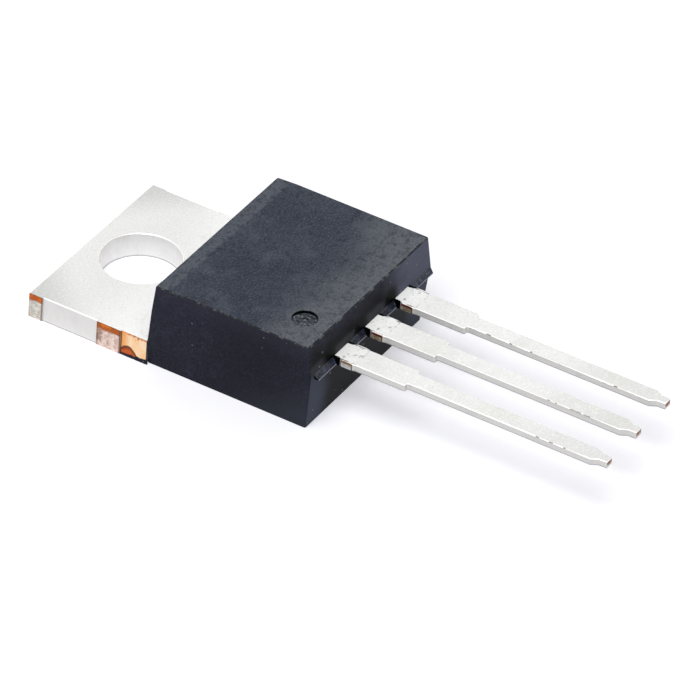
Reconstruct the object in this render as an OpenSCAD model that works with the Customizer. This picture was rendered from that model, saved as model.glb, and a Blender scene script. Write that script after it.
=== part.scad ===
// Three-lead power diode: two Schottky chips with a common cathode on a copper tab.
// Millimetres. The origin is on the axis of the tab's hole, at the mounting face.
// +Z points up from the mounting face, +Y to the tab's free end, and the leads run to -Y.

/* [Moulding] */
// Width of the moulding across the leads, at the parting line
body_width = 10.15; // [9.7:0.05:10.6]
// Height of the moulding above the mounting face
body_height = 4.6; // [4.3:0.01:4.9]
// Length of the moulding, from its end wall at the tab to its lead face
body_length = 8.7; // [8.4:0.05:9.4]
// Distance from the hole's axis to the moulding's end wall
body_start = 3.6; // [3.2:0.05:4]
// Draft of the end wall above the tab, in degrees
end_wall_draft = 7.5; // [2:0.5:10]
// Draft of the lead face above the parting line, in degrees
lead_face_top_draft = 7.5; // [2:0.5:12]
// Draft of the lead face below the parting line, in degrees
lead_face_base_draft = 5.5; // [2:0.5:10]
// Draft of the two sides above the parting line, in degrees
side_top_draft = 1; // [1:0.5:5]
// Draft of the two sides below the parting line, in degrees
side_base_draft = 3.5; // [1:0.5:4]
// Width of the shallow bevel along the top's edge at the tab
top_bevel_width = 1.1; // [0.4:0.1:1.6]
// Drop of that bevel at the edge
top_bevel_drop = 0.06; // [0.02:0.01:0.2]

/* [Ejector mark] */
// Diameter of the round sunk mark on the top
mark_diameter = 1.18; // [0.8:0.02:1.6]
// Depth of the mark
mark_depth = 0.16; // [0.05:0.01:0.25]
// Distance from the moulding's widest side to the mark's centre
mark_side_inset = 1.8; // [1.2:0.02:2.5]
// Distance from the lead face's widest line to the mark's centre
mark_lead_inset = 1.52; // [1.2:0.02:2.5]

/* [Dam bar resin] */
// How far the resin ledges between the leads stand out from the lead face
ledge_depth = 0.18; // [0.05:0.01:0.3]
// Height of the ledges' upright front, below their sloping break
ledge_front = 0.05; // [0.02:0.01:0.2]
// Distance from the moulding's widest side to the near end of the resin ledge
ledge_end_inset = 0.25; // [0:0.05:0.4]
// How much further in that end stands at the ledge's foot
ledge_end_slant = 0.14; // [0.02:0.02:0.3]
// Distance from the moulding's widest side to the ledge's far end
ledge_far_inset = 0.1; // [0:0.02:0.3]
// How far the resin on the leads' sides reaches out from the lead face
lead_resin = 0.36; // [0.26:0.01:0.4]
// How far the resin flash stands out at the moulding's far corner
corner_flash = 0.05; // [0.02:0.01:0.2]
// Width of that flash along the side
corner_flash_width = 0.2; // [0.1:0.05:0.6]

/* [Tab] */
// Thickness of the tab and the heat spreader
tab_thickness = 1.27; // [1.1:0.01:1.4]
// Width of the tab, at its top
tab_width = 10; // [9.6:0.05:10.4]
// How much further out each sheared side stands at its foot
tab_flare = 0.07; // [0.02:0.01:0.12]
// Distance from the hole's axis to the tab's free end
tab_reach = 2.71; // [2.5:0.05:3.2]
// Diameter of the mounting hole
hole_diameter = 3.8; // [3.5:0.05:4.1]

/* [Tie bars] */
// How far the sheared tie bars stand out from the tab's sides
tie_stub = 0.05; // [0.02:0.01:0.15]
// Width of the tie bar at the tab's free corners
corner_tie_width = 0.74; // [0.4:0.02:1]
// Width of the tie bar beside the hole
middle_tie_width = 1.29; // [0.8:0.02:1.6]
// Width of the tie bar next to the moulding
inner_tie_width = 1.35; // [0.8:0.02:1.6]
// How far the side is set in where that tie bar was cut
inner_tie_inset = 0.01; // [0.01:0.01:0.15]

/* [Heat spreader] */
// Length of the thick copper, from the tab's free end to its end inside the moulding
spreader_length = 12.5; // [11.5:0.1:12.9]
// Width of the bare copper on the back of the moulding
spreader_width = 8; // [7.4:0.1:8.4]
// Overhang of the copper's upper step, which the resin grips
lock_overhang = 0.3; // [0.1:0.05:0.4]
// Height of that step above the mounting face
lock_height = 0.6; // [0.4:0.05:0.8]
// Chamfer of the spreader's corners at its inner end
spreader_chamfer = 0.7; // [0.2:0.1:1]
// Width of the resin groove across the top of the copper
groove_width = 0.5; // [0.3:0.05:0.8]
// Depth of that groove
groove_depth = 0.22; // [0.1:0.01:0.35]
// Distance from the end wall to the groove's middle
groove_inset = 0.75; // [0.5:0.05:0.9]

/* [Leads] */
// Distance between the leads' centre lines
lead_pitch = 2.54; // [2.4:0.01:2.7]
// Height of the leads' underside above the mounting face
lead_height = 2.74; // [2.5:0.01:2.9]
// Thickness of the leads
lead_thickness = 0.36; // [0.34:0.01:0.5]
// Length of the leads outside the moulding
lead_length = 13.85; // [12.5:0.05:14.7]
// Width of the leads' wide part
lead_wide = 1.3; // [1.18:0.02:1.5]
// Width of the leads where they leave the moulding
lead_neck = 1.12; // [1:0.02:1.22]
// Length outside the moulding over which they keep that width
neck_length = 0.12; // [0.04:0.01:0.2]
// Width of the leads' narrow part
lead_narrow = 0.86; // [0.6:0.02:0.96]
// Length of the wide part outside the moulding
wide_length = 3.72; // [3:0.02:4]
// Radius of the corners where the lead narrows
shoulder_radius = 0.1; // [0.04:0.01:0.12]
// Length of the lead's tapered tip
tip_length = 0.74; // [0.5:0.02:1.2]
// Length of the slim nib at the tip's end
nib_length = 0.42; // [0.1:0.02:0.6]
// Width of the nib where it begins
nib_width = 0.48; // [0.44:0.02:0.58]
// Width of the nib's sheared end
tip_width = 0.44; // [0.3:0.02:0.48]

/* [Dam bar cuts] */
// Distance from the lead face to the dam bar's cut
dam_start = 0.42; // [0.38:0.01:0.6]
// Width of the dam bar's cut along the lead
dam_width = 0.58; // [0.4:0.01:0.8]
// How far the cut dam bar stands out from the lead's sides
dam_stub = 0.04; // [0.02:0.01:0.12]
// Length over which the lead's side falls from the cut, towards the tip
dam_blend = 0.15; // [0.06:0.01:0.25]

/* [Cathode lead forming] */
// Slope of the centre lead's riser, in degrees
riser_angle = 60; // [45:1:70]
// Radius of the riser's two bends, at the middle of the lead's thickness
riser_radius = 0.6; // [0.4:0.05:0.7]
// Length of thin copper before the first bend
riser_lead_in = 0.2; // [0.05:0.05:0.3]

/* [Bond posts] */
// Width of the anode leads' bond posts inside the moulding
post_width = 2.6; // [2.2:0.05:2.8]
// Length of the bond posts
post_length = 2; // [1.8:0.05:2.2]
// Thickness of resin between the lead face and the bond posts
post_cover = 0.8; // [0.6:0.05:1]
// Shift of the bond posts outwards from the leads' centre lines
post_shift = 0.15; // [0:0.05:0.3]
// Diameter of the resin hole in each bond post
anchor_diameter = 0.6; // [0.4:0.05:0.7]
// Distance from a bond post's outer edge to the hole's centre
anchor_inset = 0.45; // [0.4:0.05:0.5]

/* [Chips] */
// Side of the square silicon chips
die_size = 2.5; // [2:0.05:2.7]
// Thickness of the chips
die_thickness = 0.28; // [0.2:0.01:0.35]
// Distance between the two chips' centres
die_pitch = 4.4; // [4:0.05:4.7]
// Distance from the spreader's inner end to the chips' centres
die_inset = 2.89; // [2.5:0.05:3.2]
// Thickness of the solder under each chip
solder_thickness = 0.06; // [0.03:0.01:0.1]
// How far the solder reaches out past the chip
solder_margin = 0.1; // [0.05:0.01:0.15]

/* [Bond wires] */
// Diameter of the aluminium bond wires
wire_diameter = 0.38; // [0.3:0.01:0.42]
// Distance between the two wires of one chip
wire_pitch = 0.9; // [0.7:0.05:1]
// Radius of the wires' loops
loop_radius = 2.1; // [1.9:0.05:2.3]
// Distance from the chip's centre to the loop's end, towards the leads
die_bond_offset = 0.55; // [0.3:0.05:0.7]
// Distance from a bond post's inner edge to the loop's end
post_bond_inset = 0.5; // [0.4:0.05:0.6]
// Width of the flattened feet of the wires
foot_width = 0.5; // [0.44:0.02:0.6]
// Length of the feet
foot_length = 0.9; // [0.7:0.05:1]
// Thickness of the feet
foot_thickness = 0.22; // [0.15:0.01:0.28]

/* [Hidden] */
$fn = 96;

LEFT = -1;
RIGHT = 1;
OUTER = 1;
INNER = -1;
LOOSE = 20; // longer than the part is high or wide, for cutting shapes
BEND_STEPS = 12; // flats in each bend of a lead
WIRE_LIFT = 0.02; // keeps a loop's end off the lead, so that its foot alone touches

// Places along the leads, as Y values
wall_y = -body_start;
face_y = wall_y - body_length;
spreader_end_y = tab_reach - spreader_length;
post_end_y = face_y + post_cover;
post_start_y = post_end_y + post_length;
die_y = spreader_end_y + die_inset;

// Heights, as Z values
lead_top_z = lead_height + lead_thickness;
parting_z = lead_top_z;
die_base_z = tab_thickness + solder_thickness;
die_top_z = die_base_z + die_thickness;

// The moulding's setbacks from its widest outline
top_rise = body_height - parting_z;
side_base_setback = parting_z * tan(side_base_draft);
side_top_setback = top_rise * tan(side_top_draft);
face_base_setback = parting_z * tan(lead_face_base_draft);
face_top_setback = top_rise * tan(lead_face_top_draft);
wall_rise = body_height - top_bevel_drop - tab_thickness;
wall_top_setback = wall_rise * tan(end_wall_draft);

// Colours
RESIN = "#2e3036";
TIN = "#e4e4e0";
SOLDER = "#b9bcc0";
SILICON = "#5a5d68";
ALUMINIUM = "#cfd2d6";

// ---- Helpers ----

// Extrudes a [y, z] outline across the part, centred on x = 0
module across(width) {
    rotate([90, 0, 90])
        linear_extrude(width, center = true)
            children();
}

// Extrudes an [x, z] outline along the part, from y = start towards +y
module along(start, length) {
    translate([0, start + length, 0])
        rotate([90, 0, 0])
            linear_extrude(length)
                children();
}

// Mirrors its children to the left, or leaves them on the right
module scale_x(side) {
    mirror([side == LEFT ? 1 : 0, 0, 0])
        children();
}

// The spandrel between a square corner at the origin and a round one of radius r
module corner_spandrel(r) {
    difference() {
        square(r);
        translate([r, r])
            circle(r);
    }
}

// Points of an arc about a centre, between two angles
function arc_points(centre, radius, from, to) =
    [for (i = [0:BEND_STEPS]) let (angle = from + (to - from) * i / BEND_STEPS)
        centre + radius * [cos(angle), sin(angle)]];

// ---- Leads ----

// Plan of a lead from inside the moulding to its tip, with y = 0 at the lead face
module lead_plan(root) {
    dam_end = dam_start + dam_width;
    blend_end = dam_end + dam_blend;
    half_wide = lead_wide / 2;
    half_narrow = lead_narrow / 2;
    half_neck = lead_neck / 2;
    half_stub = half_wide + dam_stub;
    taper_start = lead_length - tip_length;
    nib_start = lead_length - nib_length;
    flare_run = dam_start - neck_length;
    flare_angle = 2 * atan2(half_stub - half_neck, flare_run);
    flare_radius = flare_run / sin(flare_angle);
    flare_centre = [half_neck + flare_radius, -neck_length];
    difference() {
        translate([-half_wide, -wide_length])
            square([lead_wide, wide_length - dam_end]);
        for (side = [LEFT, RIGHT])
            scale_x(side)
                translate([half_wide, -wide_length])
                    mirror([1, 0])
                        corner_spandrel(shoulder_radius);
    }
    for (side = [LEFT, RIGHT])
        scale_x(side) {
            polygon(concat([[0, root], [half_neck, root]],
                arc_points(flare_centre, flare_radius, 180, 180 + flare_angle),
                [[half_stub, -dam_end], [half_wide, -blend_end], [0, -blend_end]]));
            translate([half_narrow, -wide_length])
                mirror([0, 1])
                    corner_spandrel(shoulder_radius);
        }
    translate([-half_narrow, -taper_start])
        square([lead_narrow, taper_start - wide_length + shoulder_radius]);
    polygon([[-half_narrow, -taper_start], [half_narrow, -taper_start],
        [nib_width / 2, -nib_start], [tip_width / 2, -lead_length],
        [-tip_width / 2, -lead_length], [-nib_width / 2, -nib_start]]);
}

// A lead's flat strip at the lead plane
module lead_strip(root) {
    translate([0, face_y, lead_height])
        linear_extrude(lead_thickness)
            lead_plan(root);
}

// ---- Copper tab, heat spreader and cathode lead ----

// Plan of the thick copper inside the moulding, widened by the lock step
module spreader_plan(step) {
    half = spreader_width / 2 + step;
    inner = spreader_end_y + lock_overhang - step;
    polygon([[-half, wall_y], [-half, inner + spreader_chamfer], [-half + spreader_chamfer, inner],
        [half - spreader_chamfer, inner], [half, inner + spreader_chamfer], [half, wall_y]]);
}

// A stretch of the tab, its sides flared towards the mounting face
module tab_stretch(start, length, half) {
    along(start, length)
        polygon([[-half - tab_flare, 0], [-half, tab_thickness],
            [half, tab_thickness], [half + tab_flare, 0]]);
}

// The tab outside the moulding, with what its tie bars left on the sides
module tab_slab() {
    inner_end = wall_y + inner_tie_width;
    half = tab_width / 2;
    tab_stretch(wall_y, inner_tie_width, half - inner_tie_inset);
    tab_stretch(inner_end, middle_tie_width, half + tie_stub);
    tab_stretch(inner_end, tab_reach - inner_end, half);
    tab_stretch(tab_reach - corner_tie_width, corner_tie_width, half + tie_stub);
}

// The riser that forms the cathode lead from the spreader's top up to the lead plane
module cathode_riser() {
    low_z = tab_thickness - lead_thickness / 2;
    high_z = lead_height + lead_thickness / 2;
    bend_rise = riser_radius * (1 - cos(riser_angle));
    bend_run = riser_radius * sin(riser_angle);
    slope = (high_z - low_z - 2 * bend_rise) / sin(riser_angle);
    first_bend = [spreader_end_y - riser_lead_in, low_z + riser_radius];
    last_bend = [first_bend[0] - 2 * bend_run - slope * cos(riser_angle), high_z - riser_radius];
    inside = riser_radius - lead_thickness / 2;
    outside = riser_radius + lead_thickness / 2;
    across(lead_neck)
        polygon(concat(
            [[spreader_end_y + lock_overhang, tab_thickness - lead_thickness]],
            arc_points(first_bend, outside, 270, 270 - riser_angle),
            arc_points(last_bend, inside, 90 - riser_angle, 90),
            [[face_y, lead_height], [face_y, lead_top_z]],
            arc_points(last_bend, outside, 90, 90 - riser_angle),
            arc_points(first_bend, inside, 270 - riser_angle, 270),
            [[spreader_end_y + lock_overhang, tab_thickness]]));
}

module heatsink_solid() {
    difference() {
        union() {
            tab_slab();
            linear_extrude(lock_height)
                spreader_plan(0);
            translate([0, 0, lock_height])
                linear_extrude(tab_thickness - lock_height)
                    spreader_plan(lock_overhang);
        }
        cylinder(d = hole_diameter, h = 3 * tab_thickness, center = true);
        across(LOOSE)
            polygon([[wall_y - groove_inset - groove_width / 2, tab_thickness],
                [wall_y - groove_inset, tab_thickness - groove_depth],
                [wall_y - groove_inset + groove_width / 2, tab_thickness]]);
    }
    cathode_riser();
    lead_strip(0);
}

module heatsink_tab() {
    color(TIN)
        heatsink_solid();
}

// ---- Anode leads ----

module anode_lead_solid(side) {
    post_x = side * (lead_pitch + post_shift);
    difference() {
        union() {
            translate([side * lead_pitch, 0, 0])
                lead_strip(post_cover + post_length / 2);
            translate([post_x - post_width / 2, post_end_y, lead_height])
                cube([post_width, post_length, lead_thickness]);
        }
        translate([post_x, post_end_y + anchor_inset, lead_height + lead_thickness / 2])
            cylinder(d = anchor_diameter, h = 3 * lead_thickness, center = true);
    }
}

module anode_lead(side) {
    color(TIN)
        anode_lead_solid(side);
}

// ---- Chips, solder and bond wires ----

module chip_plate(side, size, base_z, thickness) {
    translate([side * die_pitch / 2 - size / 2, die_y - size / 2, base_z])
        cube([size, size, thickness]);
}

module solder(side) {
    color(SOLDER)
        chip_plate(side, die_size + 2 * solder_margin, tab_thickness, solder_thickness);
}

module die(side) {
    color(SILICON)
        chip_plate(side, die_size, die_base_z, die_thickness);
}

// A wire's flattened foot, from y = 0 towards +y, lying on z = 0
module wire_foot() {
    linear_extrude(foot_thickness)
        translate([0, foot_length / 2]) {
            square([foot_width, foot_length - foot_width], center = true);
            for (end = [-1, 1])
                translate([0, end * (foot_length - foot_width) / 2])
                    circle(d = foot_width);
        }
}

// A wire's loop, a circular arc between its two feet in the plane x = 0, and the feet
module wire_solid() {
    foot_overlap = wire_diameter / 2;
    die_end = [die_y - die_bond_offset, die_top_z + foot_thickness / 2];
    post_end = [post_start_y - post_bond_inset, lead_top_z + wire_diameter / 2 + WIRE_LIFT];
    chord = post_end - die_end;
    span = norm(chord);
    drop = sqrt(pow(loop_radius, 2) - pow(span / 2, 2));
    centre = (die_end + post_end) / 2 - drop / span * [chord[1], -chord[0]];
    start_angle = atan2(die_end[1] - centre[1], die_end[0] - centre[0]);
    end_angle = atan2(post_end[1] - centre[1], post_end[0] - centre[0]);
    translate([0, centre[0], centre[1]])
        rotate([90, 0, 90])
            rotate([0, 0, start_angle])
                rotate_extrude(angle = end_angle - start_angle)
                    translate([loop_radius, 0])
                        circle(d = wire_diameter);
    translate([0, die_end[0] - foot_overlap, die_top_z])
        wire_foot();
    translate([0, post_end[0] + foot_overlap, lead_top_z])
        mirror([0, 1, 0])
            wire_foot();
}

module wire_at(side, place) {
    translate([side * (die_pitch + place * wire_pitch) / 2, 0, 0])
        wire_solid();
}

module bond_wire(side, place) {
    color(ALUMINIUM)
        wire_at(side, place);
}

// ---- Moulding ----

// The drafted block: its side view and its end view, intersected
module moulding_block() {
    half = body_width / 2;
    intersection() {
        across(LOOSE)
            polygon([[wall_y, 0], [wall_y, tab_thickness],
                [wall_y - wall_top_setback, body_height - top_bevel_drop],
                [wall_y - wall_top_setback - top_bevel_width, body_height],
                [face_y + face_top_setback, body_height], [face_y, parting_z],
                [face_y + face_base_setback, 0]]);
        rotate([90, 0, 0])
            linear_extrude(LOOSE)
                polygon([[-half + side_base_setback, 0], [-half, parting_z],
                    [-half + side_top_setback, body_height], [half - side_top_setback, body_height],
                    [half, parting_z], [half - side_base_setback, 0]]);
    }
}

// The ledge of resin that filled the gaps up to the dam bar, broken to a slope when the bar was cut
module resin_ledge() {
    near = -body_width / 2 + ledge_end_inset;
    far = body_width / 2 - ledge_far_inset;
    intersection() {
        across(LOOSE)
            polygon([[face_y, parting_z], [face_y - ledge_depth, lead_height + ledge_front],
                [face_y - ledge_depth, lead_height], [face_y + face_base_setback, lead_height],
                [face_y + face_base_setback, parting_z]]);
        along(face_y - LOOSE / 2, LOOSE)
            polygon([[near + ledge_end_slant, lead_height], [near, parting_z],
                [far, parting_z], [far, lead_height]]);
    }
}

// The resin on both sides of a lead's neck
module neck_resin(place) {
    half = lead_wide / 2 + dam_stub;
    translate([place * lead_pitch - half, face_y - lead_resin, lead_height])
        cube([2 * half, lead_resin + face_base_setback, lead_thickness]);
}

// The flash on the far side, next to the ledge
module far_flash() {
    half = body_width / 2;
    along(face_y, corner_flash_width)
        polygon([[half - side_base_setback, lead_height], [half - side_base_setback, parting_z],
            [half, parting_z], [half + corner_flash, lead_height]]);
}

module moulded_body() {
    color(RESIN)
        difference() {
            union() {
                moulding_block();
                resin_ledge();
                far_flash();
                for (place = [-1, 0, 1])
                    neck_resin(place);
            }
            translate([-body_width / 2 + mark_side_inset, face_y + mark_lead_inset, body_height])
                cylinder(d = mark_diameter, h = 2 * mark_depth, center = true);
            heatsink_solid();
            for (side = [LEFT, RIGHT]) {
                anode_lead_solid(side);
                chip_plate(side, die_size + 2 * solder_margin, tab_thickness, solder_thickness);
                chip_plate(side, die_size, die_base_z, die_thickness);
                wire_at(side, INNER);
                wire_at(side, OUTER);
            }
        }
}

moulded_body();
heatsink_tab();
anode_lead(LEFT);  // left_anode_lead
anode_lead(RIGHT);  // right_anode_lead
solder(LEFT);  // left_solder
solder(RIGHT);  // right_solder
die(LEFT);  // left_die
die(RIGHT);  // right_die
bond_wire(LEFT, OUTER);  // left_outer_wire
bond_wire(LEFT, INNER);  // left_inner_wire
bond_wire(RIGHT, INNER);  // right_inner_wire
bond_wire(RIGHT, OUTER);  // right_outer_wire
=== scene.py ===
import math

import bmesh
import bpy
from mathutils import Matrix, Vector, noise


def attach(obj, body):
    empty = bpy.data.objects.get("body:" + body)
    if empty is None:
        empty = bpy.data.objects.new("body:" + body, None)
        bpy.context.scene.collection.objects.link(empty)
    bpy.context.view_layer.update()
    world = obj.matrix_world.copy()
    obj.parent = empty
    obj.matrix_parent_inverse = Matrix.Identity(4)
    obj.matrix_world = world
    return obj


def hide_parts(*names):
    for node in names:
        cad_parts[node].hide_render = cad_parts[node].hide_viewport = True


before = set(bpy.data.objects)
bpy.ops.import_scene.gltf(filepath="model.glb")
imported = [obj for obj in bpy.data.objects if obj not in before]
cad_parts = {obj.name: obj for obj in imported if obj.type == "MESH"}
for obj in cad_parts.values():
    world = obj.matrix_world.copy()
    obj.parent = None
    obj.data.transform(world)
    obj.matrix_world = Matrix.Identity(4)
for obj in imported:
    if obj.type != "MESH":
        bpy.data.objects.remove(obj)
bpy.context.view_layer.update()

bl_info = {
    "name": "Flat Tab Diode Finishes",
    "version": (1, 0, 0),
    "blender": (4, 5, 0),
    "location": "View3D > Sidebar > Diode",
    "description": "Dresses a three-lead power diode: moulding, tinned copper, shear marks and studio",
    "category": "Object",
}


def span(name, axis):
    """The lowest and the highest place of a CAD node along an axis."""
    places = [vert.co[axis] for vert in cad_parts[name].data.vertices]
    return min(places), max(places)


# Lengths and places are in metres. Points closer than MERGE are one, and those within SLACK of a
# line count as on it.
MM = 0.001
MERGE = 1e-7
SLACK = 0.01 * MM
FLAT_ANGLE = math.radians(0.5)
EDGE_ANGLE = math.radians(40)
SHARP_ANGLE = math.radians(32)

# How much of a face's normal lies along an axis, for a face that looks that way or leans to it
LOOKS = 0.9
LEANS = 0.5

# The tab: its hole, and the three ties that held it to its neighbours, from the free end inwards,
# with the height up to which two of them tore
TIP_Y, TAB_END = span("heatsink_tab", 1)
TAB_TOP = 1.27 * MM
TAB_FOOT_X = 5.04 * MM
HOLE_RADIUS = 1.9 * MM
WALL_Y = -3.6 * MM
CORNER_TIE_Y = (1.97 * MM, TAB_END)
MIDDLE_TIE_Y = (-2.25 * MM, -0.96 * MM)
INNER_TIE_Y = (WALL_Y, MIDDLE_TIE_Y[0])
TORN_TOP = 0.9 * MM

# The moulding: its bevel at the tab, its face at the leads and its ejector pin's mark. Its half
# width is taken on the side whose corner has no flash.
BODY_TOP = span("moulded_body", 2)[1]
BODY_HALF_WIDTH = -span("moulded_body", 0)[0]
BEVEL_Y = -4.75 * MM
PARTING_Z = 3.1 * MM
LEAD_FACE_Y = -12.3 * MM
MARK_CENTRE = Vector((-3.275, -10.78, 0)) * MM
MARK_RADIUS = 0.59 * MM
MARK_DEPTH = 0.16 * MM

# The leads, with the length where the dam bar was cut from their sides
LEAD_PITCH = 2.54 * MM
LEAD_BASE = 2.74 * MM
WIDE_HALF = 0.65 * MM
NARROW_HALF = 0.43 * MM
DAM_HALF = 0.69 * MM
DAM_Y = (-13.3 * MM, -12.72 * MM)

# The handling nicks along the near top edge of each lead, as spans of Y in millimetres
NICK_DEPTH = 0.02 * MM
NICKS = {
    "left_anode_lead": ((-24.15, -24.0), (-23.5, -23.3), (-22.8, -22.62)),
    "heatsink_tab": ((-23.9, -23.55), (-23.45, -22.88), (-22.2, -22.1), (-21.85, -21.7)),
    "right_anode_lead": ((-23.8, -23.6), (-19.4, -19.28), (-18.36, -18.2), (-17.25, -17.0)),
}


def linear(hex_colour):
    """A colour written as sRGB hex, in linear light, with an alpha of 1."""
    channels = [int(hex_colour[i:i + 2], 16) / 255 for i in (1, 3, 5)]
    light = [c / 12.92 if c <= 0.04045 else ((c + 0.055) / 1.055) ** 2.4 for c in channels]
    return (*light, 1.0)


# ---- Settings ----

class DiodeMouldingSettings(bpy.types.PropertyGroup):
    """Edges and colours of the moulding."""
    compound: bpy.props.FloatVectorProperty(
        name="Compound", description="Colour of the moulding compound",
        subtype="COLOR", size=4, default=linear("#343A49"))
    filler: bpy.props.FloatVectorProperty(
        name="Filler", description="Colour of the silica that shows in the matt grain",
        subtype="COLOR", size=4, default=linear("#7B828C"))
    corner: bpy.props.FloatProperty(
        name="Corner Radius", description="Rounding of the moulding's upright corners",
        unit="LENGTH", default=0.13 * MM)
    edge: bpy.props.FloatProperty(
        name="Edge Radius", description="Rounding of the top's edges",
        unit="LENGTH", default=0.06 * MM)
    mark_edge: bpy.props.FloatProperty(
        name="Mark Edge Radius", description="Rounding of the ejector pin mark's rim",
        unit="LENGTH", default=0.02 * MM)
    grain: bpy.props.FloatProperty(
        name="Grain", description="Size of the spark-eroded grain",
        unit="LENGTH", default=0.1 * MM)


class DiodeMetalSettings(bpy.types.PropertyGroup):
    """Edges and colours of the tinned copper."""
    tin: bpy.props.FloatVectorProperty(
        name="Tin", description="Colour of the matt tin plate",
        subtype="COLOR", size=4, default=linear("#E9E9E8"))
    tab_edge: bpy.props.FloatProperty(
        name="Tab Edge Radius", description="Rounding that the punch drew on the tab's edges",
        unit="LENGTH", default=0.12 * MM)
    hole_edge: bpy.props.FloatProperty(
        name="Hole Edge Radius", description="Rounding of the hole's rim",
        unit="LENGTH", default=0.06 * MM)
    lead_edge: bpy.props.FloatProperty(
        name="Lead Edge Radius", description="Rounding of the leads' edges",
        unit="LENGTH", default=0.04 * MM)


class DiodeStageSettings(bpy.types.PropertyGroup):
    """The studio around the part."""
    azimuth: bpy.props.FloatProperty(
        name="Azimuth", description="Direction the camera looks from",
        subtype="ANGLE", default=math.radians(-59.5394))
    elevation: bpy.props.FloatProperty(
        name="Elevation", description="Height of the camera above the horizon",
        subtype="ANGLE", default=math.radians(37.4605))
    roll: bpy.props.FloatProperty(
        name="Roll", description="Turn of the camera about its own axis",
        subtype="ANGLE", default=math.radians(2.7579))
    distance: bpy.props.FloatProperty(
        name="Distance", description="Distance from the camera to its target",
        unit="LENGTH", default=323.4 * MM)
    target: bpy.props.FloatVectorProperty(
        name="Target", description="Point that the camera looks at",
        subtype="XYZ", size=3, default=(-0.5883 * MM, -11.5968 * MM, 1.5 * MM))
    lens: bpy.props.FloatProperty(
        name="Lens", description="Focal length in millimetres on a 36 mm sensor",
        default=371.39)
    sky: bpy.props.FloatProperty(
        name="Sky", description="Strength of the even light from all round",
        default=0.36)
    overhead: bpy.props.FloatProperty(
        name="Overhead Lamp", description="Power of the soft overhead lamp in watts",
        default=1.25)
    backlight: bpy.props.FloatProperty(
        name="Backlight", description="Glow of the white floor as the camera sees it",
        default=0.39)


# ---- Meshes ----

def planar_copy(name):
    """A bmesh of a CAD node, its doubles merged and each flat face whole."""
    solid = bmesh.new()
    solid.from_mesh(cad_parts[name].data)
    bmesh.ops.remove_doubles(solid, verts=solid.verts, dist=MERGE)
    bmesh.ops.dissolve_limit(
        solid, angle_limit=FLAT_ANGLE, verts=solid.verts, edges=solid.edges)
    return solid


def is_level(edge):
    """Whether both ends of an edge are at one height."""
    return abs(edge.verts[0].co.z - edge.verts[1].co.z) < MERGE


def round_edges(solid, radius, test):
    """Rounds the outer edges for which test(middle, edge) holds; returns the new faces."""
    chosen = [
        e for e in solid.edges if len(e.link_faces) == 2 and e.is_convex
        and e.calc_face_angle(0) > EDGE_ANGLE and test((e.verts[0].co + e.verts[1].co) / 2, e)]
    return bmesh.ops.bevel(
        solid, geom=chosen, offset=radius, offset_type="OFFSET", segments=3,
        profile=0.5, affect="EDGES", clamp_overlap=True, material=-1)["faces"]


def cut_at(solid, axis, places, test):
    """Cuts the faces for which test holds by planes across an axis."""
    normal = Vector([float(i == axis) for i in range(3)])
    for place in places:
        faces = [f for f in solid.faces if test(f)
                 and min(v.co[axis] for v in f.verts) < place - MERGE
                 and max(v.co[axis] for v in f.verts) > place + MERGE]
        parts = {e for f in faces for e in f.edges} | {v for f in faces for v in f.verts}
        if faces:
            bmesh.ops.bisect_plane(
                solid, geom=[*parts, *faces], dist=MERGE, plane_co=normal * place, plane_no=normal)


def unevenness(point, grain):
    """A noise from 0 to 1 with lumps of the size grain."""
    return 0.5 + 0.5 * noise.noise(point / grain)


def break_up(solid, finish, cell, grain, reach):
    """Breaks the faces of one finish into cells and sets their inner points back unevenly.

    reach(point) is the greatest depth there, so that one face can be smooth in part and torn in part.
    """
    def mine(face):
        return face.material_index == finish

    corners = [v.co.copy() for f in solid.faces if mine(f) for v in f.verts]
    for axis in range(3):
        low, high = min(c[axis] for c in corners), max(c[axis] for c in corners)
        count = int((high - low) / cell)
        cut_at(solid, axis, [low + cell * (i + 0.5) for i in range(count)], mine)
    solid.normal_update()
    inner = [v for v in solid.verts if v.link_faces and all(mine(f) for f in v.link_faces)]
    for vert in inner:
        vert.co -= vert.normal * unevenness(vert.co, grain) * reach(vert.co)


def finish_piece(solid, name, materials, node):
    """Makes an object of the bmesh, shades it and lets it take the CAD node's place on the part."""
    for face in solid.faces:
        face.smooth = True
    for edge in solid.edges:
        edge.smooth = len(edge.link_faces) == 2 and edge.calc_face_angle(0) < SHARP_ANGLE
    mesh = bpy.data.meshes.new(name)
    solid.to_mesh(mesh)
    solid.free()
    for material in materials:
        mesh.materials.append(material)
    piece = bpy.data.objects.new(name, mesh)
    bpy.context.scene.collection.objects.link(piece)
    flatness = piece.modifiers.new("face_area_normals", "WEIGHTED_NORMAL")
    flatness.keep_sharp = True
    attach(piece, "root")
    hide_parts(node)


# ---- Materials ----

def add_node(owner, kind, inputs=None, **settings):
    """Adds a shader node to a material or a world and returns its first output in use.

    kind is the node's type, and an input is a value, a colour in hex, or an output to link.
    """
    made = owner.node_tree.nodes.new("ShaderNode" + kind)
    for key, value in settings.items():
        setattr(made, key, value)
    for socket, value in (inputs or {}).items():
        if isinstance(value, bpy.types.NodeSocket):
            owner.node_tree.links.new(value, made.inputs[socket])
        else:
            made.inputs[socket].default_value = linear(value) if isinstance(value, str) else value
    return next((output for output in made.outputs if output.enabled), None)


def new_material(name, **surface):
    """A material with a Principled surface, and its Object coordinates."""
    material = bpy.data.materials.new(name)
    material.use_nodes = True
    shader = material.node_tree.nodes["Principled BSDF"]
    for socket, value in surface.items():
        shader.inputs[socket.replace("_", " ")].default_value = value
    place = add_node(material, "TexCoord").node.outputs["Object"]
    return material, place


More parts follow.
